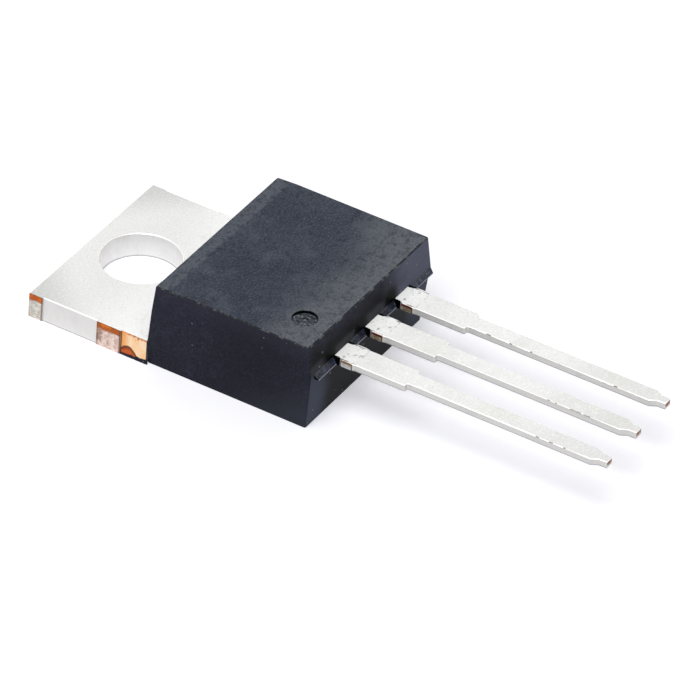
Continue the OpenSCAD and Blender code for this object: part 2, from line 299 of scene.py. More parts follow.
def grains(material, place, *sizes):
    """One noise for each of the sizes, in their order."""
    return [add_node(material, "TexNoise", {
        "Vector": place, "Scale": 1 / size, "Detail": 3.0, "Roughness": 0.6}) for size in sizes]


def lay(material, under, colour, value, low, high, amount=1.0):
    """Lays a colour over another where value passes from low to high."""
    mask = add_node(material, "MapRange", {
        "Value": value, "From Min": low, "From Max": high, "To Max": amount},
        interpolation_type="SMOOTHSTEP")
    return add_node(material, "Mix", {"Factor": mask, "A": under, "B": colour}, data_type="RGBA")


def uneven(material, value, grain, reach):
    """A value shifted by a noise, by up to half of reach each way."""
    centred = add_node(material, "Math", {0: grain, 1: 0.5}, operation="SUBTRACT")
    return add_node(material, "Math", {0: centred, 1: reach, 2: value}, operation="MULTIPLY_ADD")


def finish_surface(material, colour, roughness=None, height=None, relief=0.0):
    """Links a surface's colour and, where given, its roughness and the height of its relief."""
    shader = material.node_tree.nodes["Principled BSDF"]
    links = material.node_tree.links
    links.new(colour, shader.inputs["Base Color"])
    if roughness:
        links.new(roughness, shader.inputs["Roughness"])
    if height:
        bump = add_node(material, "Bump", {"Distance": relief, "Height": height})
        links.new(bump, shader.inputs["Normal"])
    return material


def lay_dust(material, under, place, spacing, radius):
    """Lays pale specks of dust over a colour, in one cell of four at this spacing."""
    cells = add_node(material, "TexVoronoi", {"Vector": place, "Scale": 1 / spacing}).node
    pick = add_node(material, "SeparateColor", {"Color": cells.outputs["Color"]})
    bare = add_node(material, "Math", {0: pick, 1: 0.75}, operation="LESS_THAN")
    distance = add_node(material, "Math", {0: cells.outputs["Distance"], 1: bare}, operation="ADD")
    size = radius / spacing
    return lay(material, under, "#8A8D93", distance, size, 0.4 * size, 0.8)


def top_epoxy(settings):
    """Silica-filled epoxy off a spark-eroded mould: blue-grey and matt, mottled dark and light at
    about 0.3 mm with a fine pale speckle, a painted reflection on the bevel at the tab, lighter
    towards the leads, a painted sheen towards one side, and pale flecks along the sides and at the
    leads."""
    material, place = new_material("spark_eroded_epoxy", Roughness=0.62, Specular_IOR_Level=0.15)
    across, along, _up = add_node(material, "SeparateXYZ", {"Vector": place}).node.outputs
    grain, mottle, patch, cloud = grains(
        material, place, settings.grain, 0.3 * MM, 1.1 * MM, 3.2 * MM)
    colour = lay(material, tuple(settings.compound), "#3D434F", cloud, 0.4, 0.62)
    # Painted sheen: lighter towards the +X side
    colour = lay(material, colour, "#4C515B", across, 0.5 * MM, 5.0 * MM, 0.3)
    # Painted reflection: a lighter band along the bevel at the tab
    band = uneven(material, along, mottle, 0.3 * MM)
    colour = lay(material, colour, "#5D626B", band, BEVEL_Y - 0.1 * MM, BEVEL_Y + 0.1 * MM, 0.85)
    # Lighter towards the leads
    lightens_along = uneven(material, along, cloud, 6 * MM)
    colour = lay(material, colour, "#6E7278", lightens_along, -8.6 * MM, -12.2 * MM, 0.85)
    colour = lay(material, colour, "#1B212E", mottle, 0.54, 0.3, 0.55)
    colour = lay(material, colour, "#636A74", patch, 0.5, 0.7, 0.3)
    colour = lay(material, colour, tuple(settings.filler), grain, 0.48, 0.8, 0.5)
    colour = lay(material, colour, "#22262F", grain, 0.48, 0.25, 0.8)
    side = add_node(material, "Math", {0: across}, operation="ABSOLUTE")
    for distance, reach, low, high in (
            (side, 0.35 * MM, BODY_HALF_WIDTH - 0.3 * MM, BODY_HALF_WIDTH - 0.08 * MM),
            (along, 0.9 * MM, LEAD_FACE_Y + 0.85 * MM, LEAD_FACE_Y + 0.25 * MM)):
        near = add_node(material, "MapRange", {
            "Value": uneven(material, distance, mottle, reach), "From Min": low, "From Max": high})
        flecked = add_node(material, "Math", {0: near, 1: grain}, operation="MULTIPLY")
        colour = lay(material, colour, "#8F9398", flecked, 0.48, 0.68, 0.6)
    colour = lay_dust(material, colour, place, spacing=0.5 * MM, radius=0.04 * MM)
    return finish_surface(material, colour, height=grain, relief=0.012 * MM)


def wall_colour(material, place):
    """The compound's colour on the drafted walls, and its fine, middling and coarse noise.

    The fine grain is drawn coarser than the mould's polish leaves it, so that it shows.
    """
    grain, rub, cloud = grains(material, place, 0.13 * MM, 0.7 * MM, 3.0 * MM)
    colour = lay(material, "#252632", "#2A2B39", cloud, 0.35, 0.65)
    colour = lay(material, colour, "#363846", rub, 0.5, 0.75, 0.7)
    colour = lay(material, colour, "#464954", grain, 0.5, 0.8, 0.5)
    colour = lay(material, colour, "#1A1A24", grain, 0.5, 0.3, 0.7)
    return colour, grain, rub, cloud


def wall_epoxy():
    """The same compound on the drafted walls: smoother, blue-black, with faint rub marks and dust,
    darkest midway, a little lighter at the top and greyer at the foot towards the leads."""
    material, place = new_material("drafted_wall_epoxy", Roughness=0.5, Specular_IOR_Level=0.06)
    _across, along, up = add_node(material, "SeparateXYZ", {"Vector": place}).node.outputs
    colour, grain, rub, _cloud = wall_colour(material, place)
    darkest_y = -9.4 * MM
    offset = add_node(material, "Math", {0: along, 1: darkest_y}, operation="SUBTRACT")
    from_darkest = add_node(material, "Math", {0: offset}, operation="ABSOLUTE")
    colour = lay(material, colour, "#1A1B25", from_darkest, 3.5 * MM, 0.5 * MM, 0.5)
    foot = add_node(material, "Math", {0: along, 1: 0.5, 2: up}, operation="MULTIPLY_ADD")
    foot = uneven(material, foot, rub, 0.8 * MM)
    colour = lay(material, colour, "#393D47", foot, -3.2 * MM, -5.4 * MM, 0.65)
    colour = lay(material, colour, "#3A3B47", up, 3.4 * MM, 4.6 * MM, 0.35)
    colour = lay_dust(material, colour, place, spacing=0.5 * MM, radius=0.045 * MM)
    return finish_surface(material, colour, height=grain, relief=0.006 * MM)


def lead_wall_epoxy():
    """The wall that the leads leave by: painted shade above them, with a soft black painted shadow
    beside each, a dull line along the ledge, a painted bluish sheen at one side and lighter lower
    corners."""
    material, place = new_material("lead_wall_epoxy", Roughness=0.5, Specular_IOR_Level=0.06)
    across, along, up = add_node(material, "SeparateXYZ", {"Vector": place}).node.outputs
    colour, grain, rub, cloud = wall_colour(material, place)
    # Painted shade over the wall above the leads, deepening from the top down towards the ledge
    above = uneven(material, up, cloud, 0.8 * MM)
    colour = lay(material, colour, "#060606", above, 4.7 * MM, 3.6 * MM, 0.8)
    at_ledge = uneven(material, up, rub, 0.4 * MM)
    colour = lay(material, colour, "#3C3D42", at_ledge, 3.65 * MM, 3.4 * MM, 0.8)
    # Painted sheen: bluish and lighter towards the +X side
    lightens_along = uneven(material, across, cloud, 3 * MM)
    colour = lay(material, colour, "#626578", lightens_along, 0.6 * MM, 3.8 * MM, 0.9)
    below = add_node(material, "Math", {0: up, 1: PARTING_Z}, operation="LESS_THAN")
    colour = lay(material, colour, "#0A0C11", below, 0.0, 1.0, 0.95)
    side = add_node(material, "Math", {0: across}, operation="ABSOLUTE")
    corner = add_node(material, "Math", {
        0: uneven(material, side, rub, 0.9 * MM), 1: below}, operation="MULTIPLY")
    colour = lay(material, colour, "#3E4554", corner, 2.9 * MM, 4.2 * MM, 0.9)
    # Each painted shadow lies beside a lead, just above the parting line, and none past the last lead
    shadow_x, shadow_z, turn_x = -0.93 * MM, 3.27 * MM, 0.36 * MM
    inside = add_node(material, "Math", {
        0: across, 1: LEAD_PITCH + NARROW_HALF}, operation="MINIMUM")
    beside = add_node(material, "Math", {
        0: inside, 1: turn_x, 2: turn_x - LEAD_PITCH}, operation="WRAP")
    spot = add_node(material, "CombineXYZ", {
        axis: add_node(material, "Math", {0: value, 1: middle}, operation="SUBTRACT")
        for axis, value, middle in (
            ("X", beside, shadow_x), ("Y", along, LEAD_FACE_Y), ("Z", up, shadow_z))})
    reach = add_node(material, "VectorMath", {0: spot}, operation="LENGTH").node
    tarnish_and_shadow = uneven(material, reach.outputs["Value"], rub, 0.5 * MM)
    colour = lay(material, colour, "#000000", tarnish_and_shadow, 0.78 * MM, 0.3 * MM)
    colour = lay_dust(material, colour, place, spacing=0.36 * MM, radius=0.065 * MM)
    return finish_surface(material, colour, height=grain, relief=0.006 * MM)


def rubbed_epoxy_edge():
    """The moulding's edges, where handling broke the skin: short pale flecks and dark chips."""
    material, place = new_material("rubbed_epoxy_edge", Roughness=0.6, Specular_IOR_Level=0.12)
    fleck, run = grains(material, place, 0.09 * MM, 0.5 * MM)
    colour = lay(material, "#2B2E34", "#484B4A", run, 0.48, 0.62)
    flecked = add_node(material, "Math", {0: fleck, 1: run}, operation="MULTIPLY")
    colour = lay(material, colour, "#7E8186", flecked, 0.26, 0.4, 0.7)
    colour = lay(material, colour, "#101114", fleck, 0.42, 0.3, 0.9)
    return finish_surface(material, colour, height=fleck, relief=0.02 * MM)


def pin_mark_floor():
    """The floor of the ejector pin's mark: grey like the top, with black pits and pale curls."""
    material, place = new_material("pin_mark_epoxy", Roughness=0.5, Specular_IOR_Level=0.2)
    curl, pit = grains(material, place, 0.13 * MM, 0.24 * MM)
    colour = lay(material, "#464B55", "#0B0C0F", pit, 0.52, 0.4, 0.9)
    colour = lay(material, colour, "#A0A4A6", curl, 0.54, 0.66, 0.85)
    return finish_surface(material, colour, height=curl, relief=0.03 * MM)


def shade_black_resin():
    """Near-black, smooth resin on the ejector pin mark's wall and on the ledge's other faces: its
    black is painted shade in these hollows."""
    material, place = new_material("pin_mark_wall", Roughness=0.3, Specular_IOR_Level=0.05)
    grain, = grains(material, place, 0.08 * MM)
    return finish_surface(material, lay(material, "#020203", "#16181C", grain, 0.55, 0.8))


def broken_resin():
    """Resin sheared off with the dam bars: glassy blue-black fracture with pale chips."""
    material, place = new_material("broken_resin", Roughness=0.3, Specular_IOR_Level=0.3)
    chip, run = grains(material, place, 0.11 * MM, 0.3 * MM)
    colour = lay(material, "#171B28", "#333A4E", run, 0.42, 0.62)
    colour = lay(material, colour, "#9197A8", chip, 0.56, 0.72, 0.55)
    return finish_surface(material, colour, height=chip, relief=0.03 * MM)


def bruised_resin():
    """The ledge's foot, crushed to a pale line by the dam bar's punch."""
    material, place = new_material("bruised_resin", Roughness=0.6)
    chip, run = grains(material, place, 0.08 * MM, 0.5 * MM)
    colour = lay(material, "#9B9AA6", "#C3C2CC", chip, 0.45, 0.7)
    colour = lay(material, colour, "#2A2D38", run, 0.52, 0.66, 0.6)
    return finish_surface(material, colour, height=chip, relief=0.02 * MM)


def lay_punch_marks(material, under, across, along, grain, spot, smudge):
    """Lays what the dam bar's punch left on each lead: a broken line across it, grey spots where the
    bar was held and brown wear along both rims there."""
    line_y, held_y = DAM_Y[0] - 0.12 * MM, DAM_Y[0] + 0.3 * MM
    on_line = add_node(material, "Math", {
        0: uneven(material, along, grain, 0.12 * MM), 1: line_y, 2: 0.035 * MM},
        operation="COMPARE")
    broken = add_node(material, "Math", {0: on_line, 1: smudge}, operation="MULTIPLY")
    colour = lay(material, under, "#B9BBB4", broken, 0.4, 0.6, 0.6)
    held = add_node(material, "Math", {0: along, 1: held_y, 2: 0.38 * MM}, operation="COMPARE")
    spotted = uneven(material, spot, smudge, 0.5)
    dirty = add_node(material, "Math", {0: held, 1: spotted}, operation="MULTIPLY")
    colour = lay(material, colour, "#A3A49D", dirty, 0.58, 0.78, 0.65)
    from_lead = add_node(material, "Math", {
        0: across, 1: LEAD_PITCH / 2, 2: -LEAD_PITCH / 2}, operation="WRAP")
    side = add_node(material, "Math", {0: from_lead}, operation="ABSOLUTE")
    on_rim = add_node(material, "Math", {
        0: uneven(material, side, grain, 0.1 * MM), 1: WIDE_HALF - 0.03 * MM, 2: 0.03 * MM},
        operation="COMPARE")
    pressed = add_node(material, "Math", {0: on_rim, 1: held}, operation="MULTIPLY")
    worn = add_node(material, "Math", {0: pressed, 1: smudge}, operation="MULTIPLY")
    return lay(material, colour, "#86796A", worn, 0.4, 0.55, 0.75)


def matt_tin(settings):
    """Electroplated matt tin on rolled copper: near white and soft in its reflections, with a faint
    grain and handling clouds, painted light on the leads' tops near the moulding, and marks of the dam
    bar's punch on the leads.

    The grain is drawn far coarser than the plate's own, so that it shows.
    """
    material, place = new_material("matt_tin_plate", Metallic=1.0)
    across, along, _up = add_node(material, "SeparateXYZ", {"Vector": place}).node.outputs
    grain, spot, smudge, cloud = grains(
        material, place, 0.09 * MM, 0.2 * MM, 0.4 * MM, 2.4 * MM)
    colour = lay(material, tuple(settings.tin), "#E4E4E2", cloud, 0.42, 0.68)
    colour = lay(material, colour, "#D2D2D0", along, -19.0 * MM, TIP_Y, 0.4)
    # Painted light: the leads' tops lighter towards the moulding, where its dark reflection would
    # darken them
    colour = lay(material, colour, "#FAFAFA", along, -14.0 * MM, -12.9 * MM, 0.65)
    colour = lay(material, colour, "#E4E4E3", along, -3.0 * MM, 0.6 * MM, 0.85)
    colour = lay(material, colour, "#E2E1DE", smudge, 0.52, 0.75, 0.4)
    side = add_node(material, "Math", {0: across}, operation="ABSOLUTE")
    corner = add_node(material, "Math", {0: side, 1: along}, operation="ADD")
    colour = lay(material, colour, "#CFD0CD", corner, 4.0 * MM, 7.6 * MM, 0.8)
    colour = lay(material, colour, "#C9CAC8", grain, 0.5, 0.8, 0.35)
    colour = lay(material, colour, "#FAFAF9", grain, 0.46, 0.25, 0.5)
    colour = lay_punch_marks(material, colour, across, along, grain, spot, smudge)
    rough = add_node(material, "MapRange", {"Value": grain, "To Min": 0.85, "To Max": 0.95})
    return finish_surface(material, colour, rough, height=grain, relief=0.003 * MM)


def punched_tin(name, light, dark, foot):
    """Tin over a punched side: smooth and even, with the faintest streaks in the punch's way and a
    painted shadow along its foot, which lies at the height foot."""
    material, place = new_material(name, Metallic=1.0)
    drawn = add_node(material, "Mapping", {"Vector": place, "Scale": (1.0, 1.0, 0.12)})
    streak, = grains(material, drawn, 0.11 * MM)
    cloud, speck = grains(material, place, 1.3 * MM, 0.16 * MM)
    colour = lay(material, light, dark, streak, 0.45, 0.8, 0.6)
    colour = lay(material, colour, dark, cloud, 0.5, 0.7, 0.6)
    colour = lay(material, colour, "#A9A9A8", speck, 0.7, 0.78, 0.6)
    up = add_node(material, "SeparateXYZ", {"Vector": place}).node.outputs["Z"]
    # Painted shadow along the side's foot
    colour = lay(material, colour, "#8C8C90", up, foot + 0.1 * MM, foot, 0.9)
    rough = add_node(material, "MapRange", {"Value": streak, "To Min": 0.44, "To Max": 0.48})
    return finish_surface(material, colour, rough)


def burnished_tin():
    """Tin drawn smooth over the rounded edges, so that they shine brighter than the matt faces; their
    near-white colour is also a painted highlight.
    """
    material, place = new_material("burnished_tin_edge", Metallic=1.0)
    grain, run = grains(material, place, 0.1 * MM, 0.8 * MM)
    # The near-white colour paints part of the edges' highlight
    colour = lay(material, "#FCFCFA", "#E2E3E1", grain, 0.55, 0.75)
    colour = lay(material, colour, "#DDDDDC", run, 0.62, 0.72, 0.6)
    rough = add_node(material, "MapRange", {"Value": grain, "To Min": 0.28, "To Max": 0.42})
    return finish_surface(material, colour, rough, height=grain, relief=0.002 * MM)


def sheared_tie(name, place_y, copper, torn, tarnish_and_shadow, ends):
    """A sheared tie bar: burnished bare copper along the top and a torn face smeared with tin below.

    copper and torn are two colours each, stain is the tarnish in the torn face, and ends says how
    strongly brown tarnish runs down each end of place_y, the one nearer the leads first.
    """
    material, place = new_material(name, Metallic=0.85)
    _across, along, up = add_node(material, "SeparateXYZ", {"Vector": place}).node.outputs
    fine, tear, patch = grains(material, place, 0.09 * MM, 0.24 * MM, 0.6 * MM)
    colour = lay(material, *torn, tear, 0.42, 0.6)
    colour = lay(material, colour, tarnish_and_shadow, patch, 0.5, 0.68, 0.7)
    colour = lay(material, colour, tarnish_and_shadow, fine, 0.4, 0.3, 0.7)
    colour = lay(material, colour, "#FFFAF2", fine, 0.55, 0.7, 0.7)
    level = uneven(material, up, tear, 0.16 * MM)
    colour = lay(
        material, colour, "#7E4226", level, TORN_TOP - 0.02 * MM, TORN_TOP + 0.05 * MM, 0.6)
    colour = lay(material, colour, copper[0], level, TORN_TOP + 0.04 * MM, TORN_TOP + 0.09 * MM)
    bright = add_node(material, "Math", {0: level, 1: patch}, operation="MULTIPLY")
    colour = lay(material, colour, copper[1], bright, 0.5 * MM, 0.62 * MM, 0.85)
    colour = lay(material, colour, "#6E3D22", up, TAB_TOP - 0.07 * MM, TAB_TOP - 0.01 * MM, 0.75)
    for end, way, amount in zip(place_y, (1, -1), ends):
        inset = add_node(material, "Math", {
            0: along, 1: way, 2: -way * end}, operation="MULTIPLY_ADD")
        ragged = uneven(material, inset, tear, 0.1 * MM)
        colour = lay(material, colour, "#6B4630", ragged, 0.13 * MM, 0.04 * MM, amount)
    rough = add_node(material, "MapRange", {
        "Value": level, "From Min": TORN_TOP - 0.05 * MM, "From Max": TORN_TOP + 0.1 * MM,
        "To Min": 0.6, "To Max": 0.42})
    return finish_surface(material, colour, rough, height=tear, relief=0.015 * MM)


def cut_tie():
    """The tie bar that was cut last: bright, freshly sheared copper, orange along its top and
    towards one end, with an arch of deep brown torn metal at its foot there."""
    material, place = new_material("freshly_cut_tie", Metallic=0.6, Roughness=0.5)
    _across, along, up = add_node(material, "SeparateXYZ", {"Vector": place}).node.outputs
    fine, tear, patch = grains(material, place, 0.1 * MM, 0.3 * MM, 0.6 * MM)
    colour = lay(material, "#FFE4C0", "#FFD29C", patch, 0.45, 0.68)
    colour = lay(material, colour, "#FFEED6", fine, 0.52, 0.75, 0.5)
    level = uneven(material, up, tear, 0.26 * MM)
    colour = lay(material, colour, "#E58C45", level, 1.12 * MM, 1.22 * MM, 0.9)
    streak = add_node(material, "Math", {0: up, 1: fine}, operation="MULTIPLY")
    colour = lay(material, colour, "#9C5A2C", streak, 0.62 * MM, 0.72 * MM, 0.9)
    inset = add_node(material, "Math", {0: INNER_TIE_Y[1], 1: along}, operation="SUBTRACT")
    colour = lay(material, colour, "#F7A850", inset, 0.55 * MM, 0.1 * MM, 0.85)
    # The arch's line is a parabola, and below is how far a point lies under it
    crown_inset, crown_z, bend = 0.38 * MM, 0.56 * MM, 1.6 / MM
    aside = add_node(material, "Math", {0: inset, 1: crown_inset}, operation="SUBTRACT")
    squared = add_node(material, "Math", {0: aside, 1: aside}, operation="MULTIPLY")
    arch = add_node(material, "Math", {0: squared, 1: -bend, 2: crown_z}, operation="MULTIPLY_ADD")
    below = add_node(material, "Math", {
        0: arch, 1: uneven(material, up, tear, 0.12 * MM)}, operation="SUBTRACT")
    colour = lay(material, colour, "#5C2812", below, -0.05 * MM, 0.01 * MM, 0.95)
    colour = lay(material, colour, "#A24016", below, 0.06 * MM, 0.12 * MM, 0.95)
    deep = add_node(material, "Math", {0: below, 1: fine}, operation="MULTIPLY")
    colour = lay(material, colour, "#F08030", deep, 0.05 * MM, 0.12 * MM, 0.45)
    colour = lay(material, colour, "#5A2A14", inset, 0.06 * MM, 0.02 * MM, 0.9)
    return finish_surface(material, colour, height=tear, relief=0.015 * MM)


def cut_dam(name, burnish, torn, foot):
    """A dam bar's cut on a lead's side: a burnished band over torn metal, with a brown strip at the
    end towards the lead's tip."""
    top, end = PARTING_Z, DAM_Y[0]
    material, place = new_material(name, Metallic=0.7, Roughness=0.5)
    _across, along, up = add_node(material, "SeparateXYZ", {"Vector": place}).node.outputs
    fine, tear = grains(material, place, 0.07 * MM, 0.2 * MM)
    level = uneven(material, up, tear, 0.07 * MM)
    colour = lay(material, foot, torn, level, LEAD_BASE + 0.09 * MM, LEAD_BASE + 0.13 * MM)
    colour = lay(material, colour, "#5A4636", fine, 0.42, 0.3, 0.8)
    colour = lay(material, colour, "#E4DCD0", fine, 0.56, 0.7, 0.7)
    colour = lay(material, colour, burnish, level, LEAD_BASE + 0.2 * MM, LEAD_BASE + 0.24 * MM)
    colour = lay(material, colour, "#C9A27E", level, top - 0.04 * MM, top - 0.01 * MM, 0.7)
    ragged = uneven(material, along, tear, 0.06 * MM)
    colour = lay(material, colour, "#7A5638", ragged, end + 0.1 * MM, end + 0.05 * MM, 0.8)
    return finish_surface(material, colour, height=tear, relief=0.02 * MM)


def cut_tip():
    """A lead's cropped end: tarnished bare copper above a grey smear of tin."""
    material, place = new_material("cropped_lead_end", Metallic=0.8, Roughness=0.5)
    up = add_node(material, "SeparateXYZ", {"Vector": place}).node.outputs["Z"]
    fine, tear = grains(material, place, 0.07 * MM, 0.2 * MM)
    level = uneven(material, up, tear, 0.12 * MM)
    colour = lay(material, "#D2D0CC", "#8A6650", level, LEAD_BASE + 0.1 * MM, LEAD_BASE + 0.16 * MM)
    colour = lay(material, colour, "#BDA492", fine, 0.52, 0.7, 0.8)
    return finish_surface(material, colour, height=tear, relief=0.02 * MM)


def plain_finish(name, light, dark, grain, **surface):
    """A fine-grained finish for dents and for the pieces that the moulding hides."""
    material, place = new_material(name, **surface)
    mottle, = grains(material, place, grain)
    colour = lay(material, light, dark, mottle, 0.4, 0.6)
    return finish_surface(material, colour, height=mottle, relief=0.004 * MM)


# ---- Moulding ----

# The moulding's finishes, in the order of its material slots
ROOF, WALL, EDGE, LEDGE, FOOT, MARK, SHADE_BLACK, LEAD_WALL = range(8)

FLASH_STEPS = 26
FLASH_GRAIN = 0.17 * MM
FLASH_OVERLAP = 0.03 * MM


def moulding_finish(face, rounded):
    """The finish of one of the moulding's faces, by where it lies and where it looks."""
    centre, normal = face.calc_center_median(), face.normal
    from_mark = (centre - MARK_CENTRE).xy.length
    # The ledge's broken face slopes up from its upright foot
    if centre.y < LEAD_FACE_Y - 2 * SLACK:
        # The ledge's other faces, beside the leads' necks, take near-black resin as painted shade
        if normal.y >= -0.4:
            return SHADE_BLACK
        return LEDGE if normal.z > 0.2 else FOOT
    if face in rounded:
        return EDGE
    if centre.z > BODY_TOP - 0.07 * MM and normal.z > LOOKS:
        return ROOF
    if from_mark < MARK_RADIUS and normal.z > LOOKS and centre.z > BODY_TOP - MARK_DEPTH - 2 * SLACK:
        return MARK
    # The pin mark's wall takes near-black resin as painted shade
    if from_mark < MARK_RADIUS + 3 * SLACK:
        return SHADE_BLACK
    if centre.y < LEAD_FACE_Y + 0.5 * MM and normal.y < -LOOKS:
        return LEAD_WALL
    return WALL


def add_flash(solid, finish):
    """Adds the ragged strip of resin that bled out along the tab's foot, next to the moulding."""
    start, end = INNER_TIE_Y[0] - 0.09 * MM, INNER_TIE_Y[1] + 0.06 * MM
    inside = -TAB_FOOT_X + FLASH_OVERLAP
    rows = []
    for step in range(FLASH_STEPS + 1):
        y = start + (end - start) * step / FLASH_STEPS
        fade = 1 - 0.6 * step / FLASH_STEPS
        ragged = unevenness(Vector((0, y, 0)), FLASH_GRAIN)
        height = (0.16 + 0.2 * ragged) * fade * MM
        outside = -TAB_FOOT_X - (0.03 + 0.03 * ragged) * MM
        rows.append([solid.verts.new((x, y, z)) for x, z in (
            (inside, 0.0), (outside, 0.0), (outside, height * 0.6), (inside, height))])
    made = [solid.faces.new((a[k], a[(k + 1) % 4], b[(k + 1) % 4], b[k]))
            for a, b in zip(rows, rows[1:]) for k in range(4)]
    made += [solid.faces.new(rows[0]), solid.faces.new(rows[-1])]
    bmesh.ops.recalc_face_normals(solid, faces=made)
    for face in made:
        face.material_index = finish


class DIODE_OT_moulding(bpy.types.Operator):
    """Dress the epoxy moulding"""
    bl_idname = "diode.moulding"
    bl_label = "Moulding"

    def execute(self, context):
        settings = context.scene.diode_moulding
        solid = planar_copy("moulded_body")

        def on_corner(point, edge):
            outside = abs(point.x) > BODY_HALF_WIDTH - 0.35 * MM
            at_leads = LEAD_FACE_Y - MERGE < point.y < LEAD_FACE_Y + 0.6 * MM
            return outside and not is_level(edge) and (at_leads or point.y > WALL_Y - 0.7 * MM)

        def at_mark(point):
            return (point.xy - MARK_CENTRE.xy).length < MARK_RADIUS + SLACK

        def on_rim(point, _edge):
            return point.z > BODY_TOP - 0.1 * MM and not at_mark(point)

        def on_mark(point, _edge):
            return point.z > BODY_TOP - SLACK and at_mark(point)

        round_edges(solid, settings.corner, on_corner)
        rounded = set(round_edges(solid, settings.edge, on_rim))
        rounded |= set(round_edges(solid, settings.mark_edge, on_mark))
        solid.normal_update()
        for face in solid.faces:
            face.material_index = moulding_finish(face, rounded)
        break_up(solid, LEDGE, cell=0.08 * MM, grain=0.13 * MM, reach=lambda _point: 0.07 * MM)
        break_up(solid, MARK, cell=0.05 * MM, grain=0.14 * MM, reach=lambda _point: 0.05 * MM)
        add_flash(solid, WALL)
        finish_piece(solid, "moulding", [
            top_epoxy(settings), wall_epoxy(), rubbed_epoxy_edge(), broken_resin(),
            bruised_resin(), pin_mark_floor(), shade_black_resin(), lead_wall_epoxy(),
        ], "moulded_body")
        return {"FINISHED"}


# ---- Tab and leads ----

# The finishes of a lead, in the order of its material slots, and after them the tab's own
TIN, SIDE, DAM_CUT, TIP_CUT, BRIGHT, DENT = range(6)
CORNER_TIE, MIDDLE_TIE, INNER_TIE, PUNCHED, HOLE = range(DENT + 1, DENT + 6)
TIES = {CORNER_TIE: CORNER_TIE_Y, MIDDLE_TIE: MIDDLE_TIE_Y, INNER_TIE: INNER_TIE_Y}


def dress_lead(solid, node, centre_x, settings):
    """Rounds a lead's edges, sorts its finishes and tears the cuts on its sides."""
    def on_lead(point):
        return point.y < LEAD_FACE_Y - 0.1 * MM and abs(point.x - centre_x) < DAM_HALF + 0.1 * MM

    def sheared(point):
        at_cut = abs(point.x - centre_x) > DAM_HALF - SLACK
        return at_cut and DAM_Y[0] - MERGE < point.y < DAM_Y[1] + MERGE

    rounded = set(round_edges(
        solid, settings.lead_edge,
        lambda point, _edge: on_lead(point) and not sheared(point)))
    solid.normal_update()
    for face in solid.faces:
        centre = face.calc_center_median()
        if face in rounded and face.normal.z > 0.2:
            face.material_index = BRIGHT
        elif on_lead(centre) and abs(face.normal.z) < LEANS:
            face.material_index = SIDE
            if sheared(centre):
                face.material_index = DAM_CUT
            elif centre.y < TIP_Y + 0.5 * SLACK:
                face.material_index = TIP_CUT
    break_up(solid, DAM_CUT, cell=0.06 * MM, grain=0.12 * MM, reach=lambda _point: 0.03 * MM)
    nick_edge(solid, NICKS[node], centre_x - NARROW_HALF, 2 * settings.lead_edge)


def nick_edge(solid, nicks, edge_x, strip):
    """Dents a lead's bright edge at each nick; its faces lie within strip of edge_x."""
    spans = [(low * MM, high * MM) for low, high in nicks]
    places = [low + (high - low) * step for low, high in spans for step in (0, 0.25, 0.75, 1)]
    cut_at(solid, 1, places, lambda face: face.material_index == BRIGHT
           and abs(face.calc_center_median().x - edge_x) < strip)
    for vert in solid.verts:
        nicked = any(low + MERGE < vert.co.y < high - MERGE for low, high in spans)
        if nicked and vert.co.z > PARTING_Z - 3 * SLACK and abs(vert.co.x - edge_x) < 3 * SLACK:
            vert.co += Vector((NICK_DEPTH, 0.0, -NICK_DEPTH))
            for face in vert.link_faces:
                if face.material_index == BRIGHT:
                    face.material_index = DENT


def tab_finish(face, rounded):
    """The finish of one of the tab's faces, by where it lies and where it looks."""
    centre, normal = face.calc_center_median(), face.normal
    if face in rounded:
        return BRIGHT
    if abs(normal.z) >= LEANS:
        return TIN
    if centre.xy.length < HOLE_RADIUS + SLACK:
        return HOLE
    if abs(normal.x) > LOOKS:
        for tie, (low, high) in TIES.items():
            if low < centre.y < high:
                return tie
    return PUNCHED


